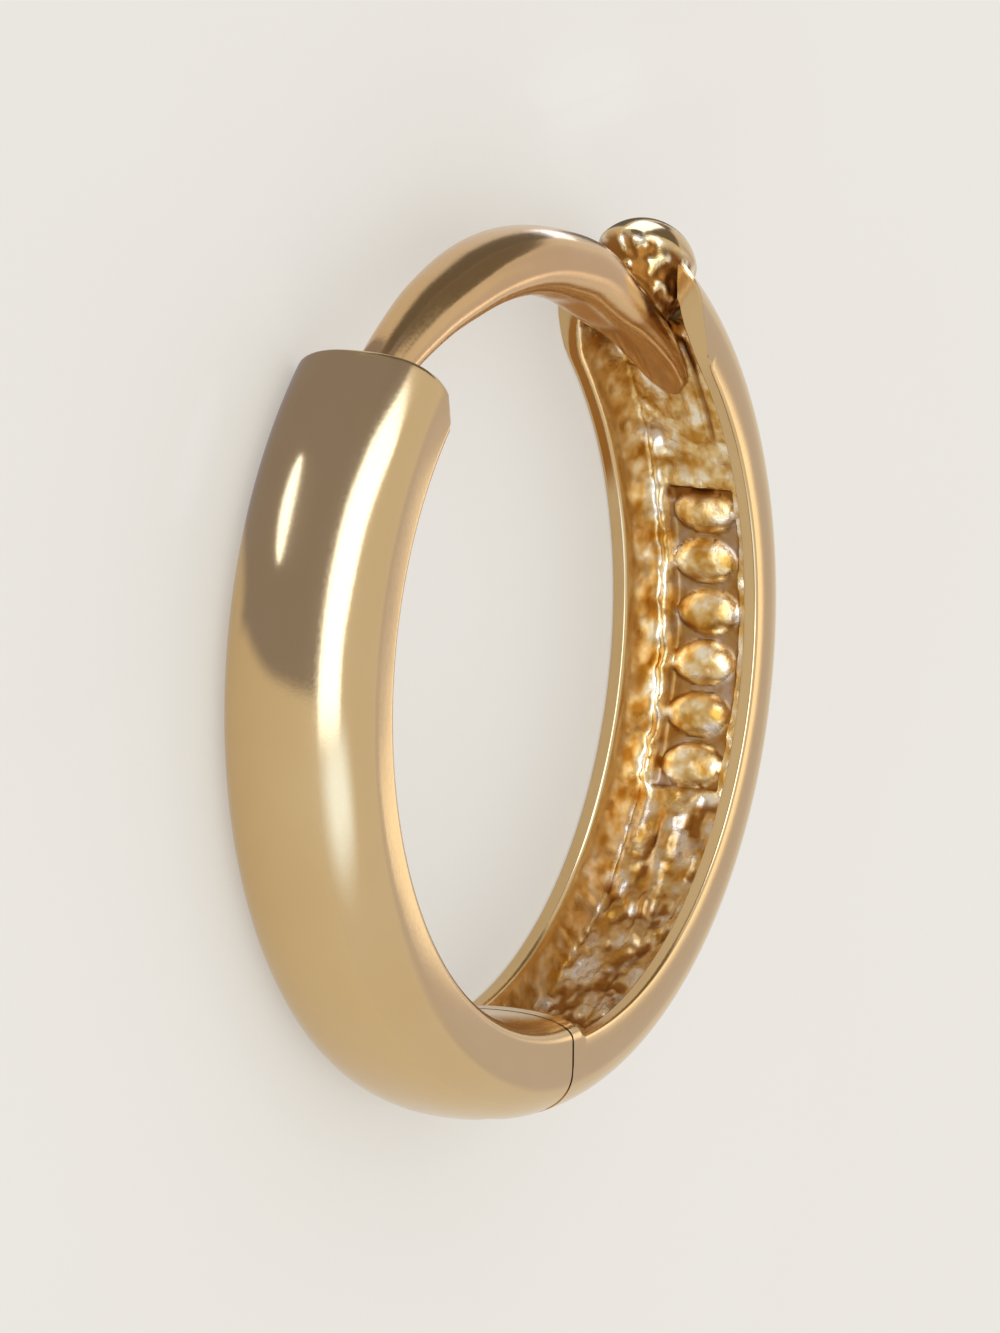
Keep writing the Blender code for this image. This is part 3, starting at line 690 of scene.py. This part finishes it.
def goldMaterial(name, look):
    # Yellow gold is a metal, so its colour is all in the reflection: faint clouds of a warmer alloy keep it
    # from looking sprayed on, wide shallow waves bend the mirrored edges as hand polishing does, and the
    # fine grain softens them.
    material = bpy.data.materials.new(name)
    material.use_nodes = True
    tree = material.node_tree
    shader = tree.nodes["Principled BSDF"]
    shader.inputs["Metallic"].default_value = 1.0
    where = addNode(tree, "ShaderNodeTexCoord").outputs["Object"]
    cloud = noise(tree, where, look["cloudSize"], 3.0)
    tree.links.new(mixColour(tree, cloud, look["colour"], look["warm"]), shader.inputs["Base Color"])
    fine = noise(tree, where, look["grainSize"], 4.0)
    tree.links.new(between(tree, fine, 0.3, 0.7, *look["rough"]), shader.inputs["Roughness"])
    waves = relief(tree, noise(tree, where, look["waveSize"], 1.0), look["wave"])
    tree.links.new(relief(tree, fine, look["grain"], waves), shader.inputs["Normal"])
    return material, tree, shader, where


castLook = {
    "colour": "#D8BC8D", "warm": "#D2B280", "cloudSize": 1.2,
    "rough": (0.13, 0.18), "grainSize": 0.05, "grain": 0.0006, "waveSize": 0.9, "wave": 0.004,
    "patchSize": 0.3,  # brighter and duller patches of the cast skin
    "patches": ((0.34, "#C7933F"), (0.5, "#E9C98C"), (0.66, "#FBF1DA")),
    "castRough": (0.24, 0.1),  # dull patches first, bright ones last
    # brown for the darkening of the cast skin, partly tarnish and partly painted shade, and its roughness
    "tarnishAndShade": "#8E5B24",
    "tarnishAndShadeRough": 0.42,
    "gritSize": 0.045,
    "grit": 0.007,
}


def castGold():
    # Sand-cast skin in the trough and on the rivet's pits, polished gold on the crown: the cast share mixes
    # colour, gloss and relief, so that the eye sees raw yellow sparkle beside a mirror; the tarnish-and-shade
    # share browns it, partly as tarnish and partly as painted shade.
    look = castLook
    material, tree, shader, where = goldMaterial("castGoldPolishedCrown", look)
    share = addNode(tree, "ShaderNodeAttribute", {"attribute_name": "castShare"}).outputs["Fac"]
    polished = {key: shader.inputs[key].links[0].from_socket for key in ("Base Color", "Roughness", "Normal")}
    patch = noise(tree, where, look["patchSize"], 2.0)
    ramp = addNode(tree, "ShaderNodeValToRGB", links={"Fac": patch})
    steps = ramp.color_ramp.elements
    steps.new(0.5)
    for step, (position, colour) in zip(steps, look["patches"]):
        step.position, step.color = position, linear(colour)
    # share of tarnish and painted shade, browning the cast skin
    tarnishAndShade = addNode(tree, "ShaderNodeAttribute", {"attribute_name": "tarnishAndShade"}).outputs["Fac"]
    stained = mixColour(tree, tarnishAndShade, ramp.outputs["Color"], look["tarnishAndShade"])
    tree.links.new(mixColour(tree, share, polished["Base Color"], stained), shader.inputs["Base Color"])
    castRough = between(tree, patch, 0.35, 0.65, *look["castRough"])
    dull = addNode(tree, "ShaderNodeMix", values={3: look["tarnishAndShadeRough"]}, links={0: tarnishAndShade, 2: castRough})
    rough = addNode(tree, "ShaderNodeMix", links={0: share, 2: polished["Roughness"], 3: dull.outputs[0]})
    tree.links.new(rough.outputs[0], shader.inputs["Roughness"])
    grit = noise(tree, where, look["gritSize"], 4.0, 0.7)
    height = addNode(tree, "ShaderNodeMath", {"operation": "MULTIPLY"}, links={0: grit, 1: share})
    bumps = relief(tree, height.outputs["Value"], look["grit"], polished["Normal"])
    tree.links.new(bumps, shader.inputs["Normal"])
    return material


table = {
    "size": 3.0,  # in metres
    "below": 0.01,
    "colour": "#C0BEBA",
    "shade": "#BEBCB7",
    "cloudSize": 9.0,
    "rough": 0.85,
    "gloss": 0.15,
    "glow": 0.7,
}


def makeTable():
    # Matt paper lit from below: its glow keeps the earring's shadow faint, and clouds of a second grey keep
    # the white from looking empty.
    mesh = bpy.data.meshes.new("table_top")
    s = table["size"] / 2
    mesh.from_pydata([(-s, -s, 0), (s, -s, 0), (s, s, 0), (-s, s, 0)], [], [(0, 1, 2, 3)])
    top = bpy.data.objects.new("table_top", mesh)
    bpy.context.scene.collection.objects.link(top)
    top.location.z = -table["below"] * mm
    material = bpy.data.materials.new("tableMattPaper")
    material.use_nodes = True
    tree = material.node_tree
    shader = tree.nodes["Principled BSDF"]
    where = addNode(tree, "ShaderNodeTexCoord").outputs["Object"]
    tone = mixColour(tree, noise(tree, where, table["cloudSize"], 2.0), table["colour"], table["shade"])
    tree.links.new(tone, shader.inputs["Base Color"])
    tree.links.new(tone, shader.inputs["Emission Color"])
    shader.inputs["Emission Strength"].default_value = table["glow"]
    shader.inputs["Roughness"].default_value = table["rough"]
    shader.inputs["Specular IOR Level"].default_value = table["gloss"]
    mesh.materials.append(material)


studio = {
    "roomLight": 0.93,
    "roomColour": "#F3F1EE",
    "cardDistance": 150.0,  # from the earring to the cards that hang round it
    # all cards here are painted reflections and light nothing: the bright ones paint highlights on the metal,
    # the dim ones paint its dark reflections
    # Cards that only the metal mirrors: a white sail from low beside the camera to high on the far side,
    # a fainter veil that follows it, a dark wall under the sail, a dark flag behind the ear post, a grey
    # screen for the right-hand side and a bright lid. soft is how many degrees of a card fade out inside
    # its edges, endSoft the same at its two ends, and distance is a share of cardDistance. A row is an
    # angle and the lift of the card's low and high edge there.
    "cards": {
        "wall": {
            "rows": [(74, -2, 19), (103, -2, 24), (118, -2, 13), (135, -2, 7), (151, -2, 5), (180, -2, 4)],
            "colour": "#F4F0FF", "strength": 0.37, "soft": 1.0, "distance": 1.05,
        },
        "sail": {
            "rows": [
                (93, 22, 53),
                (103, 22, 55),
                (118, 11, 52),
                (135, 5, 47),
                (151, 3, 45),
                (166, 3, 40),
                (194, 3, 40),
            ],
            "colour": "#D2E2FF", "strength": 4.2, "soft": 5.0, "endSoft": 12.0, "distance": 1.0,
        },
        "veil": {
            "rows": [(174, -2, 44), (200, -2, 62), (236, -2, 70)],
            "colour": "#C6DBFF", "strength": 2.5, "soft": 26.0, "distance": 1.02,
        },
        "screen": {
            "rows": [(-40, 12, 44), (-12, 12, 44), (16, 12, 44), (30, 12, 44)],
            "colour": "#F8F4FF", "strength": 0.74, "soft": 7.0, "distance": 1.04,
        },
        "lid": {
            "rows": [(-100, 34, 70), (16, 34, 70)],
            "colour": "#FFF8F0", "strength": 1.7, "soft": 12.0, "distance": 0.05,
            "about": (5.5, 0.0, 2.3),  # hangs close over the near wall of the back half
        },
        "flag": {
            "rows": [(28, -2, 12), (38, -2, 50), (60, -2, 48), (80, -2, 26)],
            "colour": "#FFF4E4", "strength": 0.2, "soft": 3.0, "distance": 1.0,
        },
    },
    "sheetHeight": 0.012,  # of the sheets that lie on the table, so that they don't touch it
    "lamp": {"from": (0.11, -0.075, 0.10), "size": 0.16, "power": 0.026, "colour": "#FFFCF8"},
}


def aim(angle, lift, distance):
    # Direction by angle round the floor and lift above it, times a distance in mm, to metres.
    angle, lift = np.radians(angle), np.radians(lift)
    flat = np.cos(lift) * distance
    return np.stack([flat * np.cos(angle), flat * np.sin(angle), np.sin(lift) * distance], axis=-1) * mm


def makeCard(name, points, fade, card):
    # A glowing or dark card through points[i, j] that the metal mirrors and nothing else sees; where its
    # fade is 0 it is clear, where it is 1 it is full.
    rows, columns = fade.shape
    index = np.arange(rows * columns).reshape(rows, columns)
    quads = np.stack([index[:-1, :-1], index[1:, :-1], index[1:, 1:], index[:-1, 1:]], axis=-1)
    mesh = bpy.data.meshes.new(name)
    mesh.from_pydata(points.reshape(-1, 3), [], quads.reshape(-1, 4))
    mesh.attributes.new("fade", "FLOAT", "POINT").data.foreach_set("value", fade.astype(np.float32).ravel())
    board = bpy.data.objects.new(name, mesh)
    bpy.context.scene.collection.objects.link(board)
    board.visible_camera = board.visible_diffuse = board.visible_shadow = False
    board.visible_transmission = board.visible_volume_scatter = False
    material = bpy.data.materials.new(name + "Glow")
    material.use_nodes = True
    tree = material.node_tree
    tree.nodes.remove(tree.nodes["Principled BSDF"])
    clear = addNode(tree, "ShaderNodeBsdfTransparent")
    light = {"Color": linear(card["colour"]), "Strength": card["strength"]}
    glow = addNode(tree, "ShaderNodeEmission", values=light)
    share = addNode(tree, "ShaderNodeAttribute", {"attribute_name": "fade"}).outputs["Fac"]
    mix = addNode(tree, "ShaderNodeMixShader", links={0: share, 1: clear.outputs[0], 2: glow.outputs[0]})
    tree.links.new(mix.outputs[0], tree.nodes["Material Output"].inputs["Surface"])
    mesh.materials.append(material)
    print("hung", name)


def hangCard(name, card):
    # Part of a sphere about the earring, between the card's low and high edges.
    known, lows, highs = np.array(card["rows"]).T
    angles = np.linspace(known[0], known[-1], 60)
    low, high = np.interp(angles, known, lows), np.interp(angles, known, highs)
    share = np.linspace(0, 1, 24)
    lift = low[:, None] + (high - low)[:, None] * share
    points = aim(angles[:, None], lift, studio["cardDistance"] * card["distance"])
    points = points + np.array(card.get("about", (0, 0, 0))) * mm
    inside = np.minimum(lift - low[:, None], high[:, None] - lift)
    ends = np.minimum(angles - angles[0], angles[-1] - angles)[:, None]
    endSoft = card.get("endSoft", card["soft"])
    makeCard(name, points, smoothStep(-0.01, card["soft"], inside) * smoothStep(-0.01, endSoft, ends), card)


def gridCard(name, card, u, v, point, fade):
    # Card over a grid of u and v: point gives where each knot lies, fade how full the card is there.
    uu, vv = np.meshgrid(u, v, indexing="ij")
    makeCard(name, point(uu, vv), fade(uu, vv), card)


def onTable(x, y):
    # Points of a sheet that lies on the table, in metres.
    return np.stack(np.broadcast_arrays(x, y, studio["sheetHeight"]), axis=-1) * mm


def leastFade(*edges):
    # Each edge is clear at its first value and full at its second; where several meet the clearest counts.
    return np.minimum.reduce([smoothStep(*edge, value) for edge, value in edges])


# steps from a sheet's near corner in mm: small along its soft borders, large beyond them
sheetSteps = np.concatenate([np.arange(0, 6, 0.08), 6 + np.geomspace(0.1, 150, 40)])

# dim glowing sheet before the hoop, seen only in reflections: painted shade, standing for the table's shadow,
# that the front half's crown mirrors as its dark zone
frontSheet = {
    "near": 1.05,  # its border runs along y = near and bends away towards the hoop
    "bend": 0.75,
    "bendFrom": -6.5,
    "bendRun": 1.2,
    "soft": 0.22,
    "inner": 6.48,  # radius of its border beside the hoop
    "innerSoft": 0.15,
    "notch": 0.85,  # the border reaches this much further in beside the cap
    "notchTurn": (164, 142),
    "right": -2.6,
    "start": 0.8,
    "colour": "#F4F0FF", "strength": 0.39,
}


def layFrontSheet():
    c = frontSheet

    def fade(x, y):
        border = c["near"] + c["bend"] * np.exp(np.minimum(0, x - c["bendFrom"]) / c["bendRun"])
        fromHoop = y - hoop["centreY"]
        inner = c["inner"] - c["notch"] * smoothStep(*c["notchTurn"], np.degrees(np.arctan2(fromHoop, x)))
        beside = smoothStep(inner - c["innerSoft"], inner + c["innerSoft"], np.hypot(x, fromHoop))
        return smoothStep(border - c["soft"], border + c["soft"], y) * beside

    gridCard("frontSheet", c, c["right"] - sheetSteps, c["start"] + sheetSteps, onTable, fade)


# dim sheet on the table beyond the post and the rivet, which mirror it along their outer sides: a painted
# dark reflection
farSheet = {
    "near": (7.6, 8.1), "left": (-4.0, -3.5),  # clear at the first, full at the second
    "right": 12.0,  # its right border starts here
    "spread": 2.0,  # and runs out this much for each mm away
    "rightSoft": 0.3,
    "wide": 160,
    "colour": "#FFF6EA", "strength": 0.18,
}


def layFarSheet():
    c = farSheet
    near, left = c["near"][0], c["left"][0]

    def fade(x, y):
        pastRight = x - c["right"] - (y - near) * c["spread"]
        aside = smoothStep(c["rightSoft"], -c["rightSoft"], pastRight)
        return smoothStep(*c["near"], y) * aside * smoothStep(*c["left"], x)

    x = left + np.concatenate([sheetSteps, c["wide"] + sheetSteps[-20:]])
    gridCard("farSheet", c, x, near + sheetSteps, onTable, fade)


# dark sheet on the table beside the rivet and the back half's top, outside the hoop only: painted shade,
# standing for the table's shadow there, seen only in reflections
rivetSheet = {
    "left": (4.6, 5.0), "right": (10.0, 8.5), "near": (4.2, 5.0), "far": (6.9, 6.6),
    "hoop": (6.55, 6.75),  # radii about the hoop's axis
    "colour": "#FFF6EA", "strength": 0.15,
}


def layRivetSheet():
    c = rivetSheet

    def fade(x, y):
        outside = smoothStep(*c["hoop"], np.hypot(x, y - hoop["centreY"]))
        aside = smoothStep(*c["left"], x) * smoothStep(*c["right"], x)
        return outside * aside * smoothStep(*c["near"], y) * smoothStep(*c["far"], y)

    x = np.linspace(c["left"][0], c["right"][0], 60)
    gridCard("rivetSheet", c, x, np.linspace(c["near"][0], c["far"][0], 40), onTable, fade)


# white lens on the table: the thin highlight inside the front half's dark zone
frontStrip = {
    "from": (-7.15, 3.35), "to": (-5.85, 5.15), "wide": 0.44, "height": 0.02,
    "colour": "#D2E2FF", "strength": 4.2,
}


def layStrip():
    # Narrow between two points, fading from its middle line to its edges.
    c = frontStrip
    start, end = np.array(c["from"]), np.array(c["to"])
    along = (end - start) / np.linalg.norm(end - start)
    aside = np.array((-along[1], along[0]))
    s, w = np.meshgrid(np.linspace(0, 1, 30), np.linspace(-1, 1, 15), indexing="ij")
    wide = c["wide"] * np.sqrt(np.sin(pi * s) + 0.01)
    flat = start + (end - start) * s[..., None] + aside * (wide * w)[..., None]
    points = np.concatenate([flat, np.full_like(s, c["height"])[..., None]], axis=-1) * mm
    makeCard("frontStrip", points, smoothStep(1, 0.45, np.abs(w)), c)


# white card that stands close behind the rivet and lights its pits
rivetCard = {
    "left": (3.3, 3.9), "right": (6.8, 6.2), "y": 7.2, "low": 0.02, "high": (1.55, 1.35),
    "colour": "#D2E2FF", "strength": 3.6,
}


def standRivetCard():
    c = rivetCard

    def point(x, z):
        return np.stack(np.broadcast_arrays(x, c["y"], z), axis=-1) * mm

    def fade(x, z):
        return leastFade((c["left"], x), (c["right"], x), (c["high"], z))

    x = np.linspace(c["left"][0], c["right"][0], 30)
    gridCard("rivetCard", c, x, np.linspace(c["low"], c["high"][0], 20), point, fade)


# glowing golden-brown card inside the hoop below the post's root, in radius and degrees: a painted reflection
# that brightens the trough
rootSheet = {
    "inner": (4.2, 4.5), "outer": 5.3, "start": (12, 18), "end": (52, 46), "height": 0.015,
    "colour": "#D6A468", "strength": 0.6,
}


def layRootSheet():
    c = rootSheet

    def point(radius, angle):
        return place(radius, angle, c["height"] - half)

    def fade(radius, angle):
        return leastFade((c["inner"], radius), (c["start"], angle), (c["end"], angle))

    radii = np.linspace(c["inner"][0], c["outer"], 16)
    gridCard("rootSheet", c, radii, np.linspace(c["start"][0], c["end"][0], 40), point, fade)


def makeRoom():
    world = bpy.data.worlds.new("studioRoom")
    bpy.context.scene.world = world
    world.use_nodes = True
    back = world.node_tree.nodes["Background"]
    back.inputs["Color"].default_value = linear(studio["roomColour"])
    back.inputs["Strength"].default_value = studio["roomLight"]


def makeLamp():
    lamp = studio["lamp"]
    light = bpy.data.lights.new("windowLamp", "AREA")
    light.size = lamp["size"]
    light.energy = lamp["power"]
    light.color = linear(lamp["colour"])[:3]
    holder = bpy.data.objects.new("windowLamp", light)
    bpy.context.scene.collection.objects.link(holder)
    holder.location = lamp["from"]
    holder.rotation_mode = "QUATERNION"
    holder.rotation_quaternion = Vector(lamp["from"]).to_track_quat("Z", "Y")
    holder.visible_glossy = False  # the metal mirrors the cards instead


camera = {
    "turn": 28.8,  # off the hoop's plane
    "lift": 11.8,
    "roll": -0.98,
    "distance": 402.7,
    "closer": 2.4,  # the earring fills the frame this much more than in the photograph
    "frame": (1000, 1333),
    "focal": 12000.0,  # in pixels of the frame
    "middle": (503.4, 656.2),  # where the hoop's centre falls, in the same pixels
    "sensor": 36,
}


def makeCamera():
    c = camera
    turn, lift = radians(c["turn"]), radians(c["lift"])
    toRow = Matrix(((sin(turn), 0, cos(turn)), (cos(turn), 0, -sin(turn)), (0, 1, 0))).transposed()
    back = toRow @ Vector((0, -cos(lift), sin(lift)))
    up = toRow @ Vector((0, sin(lift), cos(lift)))
    right = toRow @ Vector((1, 0, 0))
    turned = Matrix((right, up, back)).transposed() @ Matrix.Rotation(radians(c["roll"]), 3, "Z")
    distance, focal = c["distance"] * mm, c["focal"] * c["closer"]
    wide, high = c["frame"]
    aside = (c["middle"][0] - wide / 2) / focal * distance
    above = -(c["middle"][1] - high / 2) / focal * distance
    offset = Vector((aside, above, -distance))
    centre = Vector((0, hoop["centreY"], half)) * mm
    data = bpy.data.cameras.new("camera")
    data.sensor_width = c["sensor"]
    data.lens = focal / high * c["sensor"]
    data.clip_start = 0.01
    holder = bpy.data.objects.new("camera", data)
    bpy.context.scene.collection.objects.link(holder)
    holder.matrix_world = Matrix.Translation(centre - turned @ offset) @ turned.to_4x4()
    bpy.context.scene.camera = holder
    bpy.context.scene.view_settings.view_transform = "Standard"


post = makeEarPost()
front = makeFrontHalf()
backShell = makeBackHalf()
tongue = makeHingeTongue()
head = makeRivet()
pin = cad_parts["hinge_pin"]
pin.data.materials.clear()
polished = goldMaterial("goldPolished", polishedLook)[0]
satin = goldMaterial("goldSatin", satinLook)[0]
cast = castGold()
golds = ((front, polished), (post, satin), (head, cast), (backShell, cast), (tongue, satin), (pin, satin))
for piece, gold in golds:
    piece.data.materials.append(gold)
print("gold on all six pieces")
makeTable()
print("table laid")
makeRoom()
for name, card in studio["cards"].items():
    hangCard(name, card)
layFrontSheet()
layFarSheet()
layRivetSheet()
layStrip()
standRivetCard()
layRootSheet()
makeLamp()
makeCamera()
print("lamp and camera set")
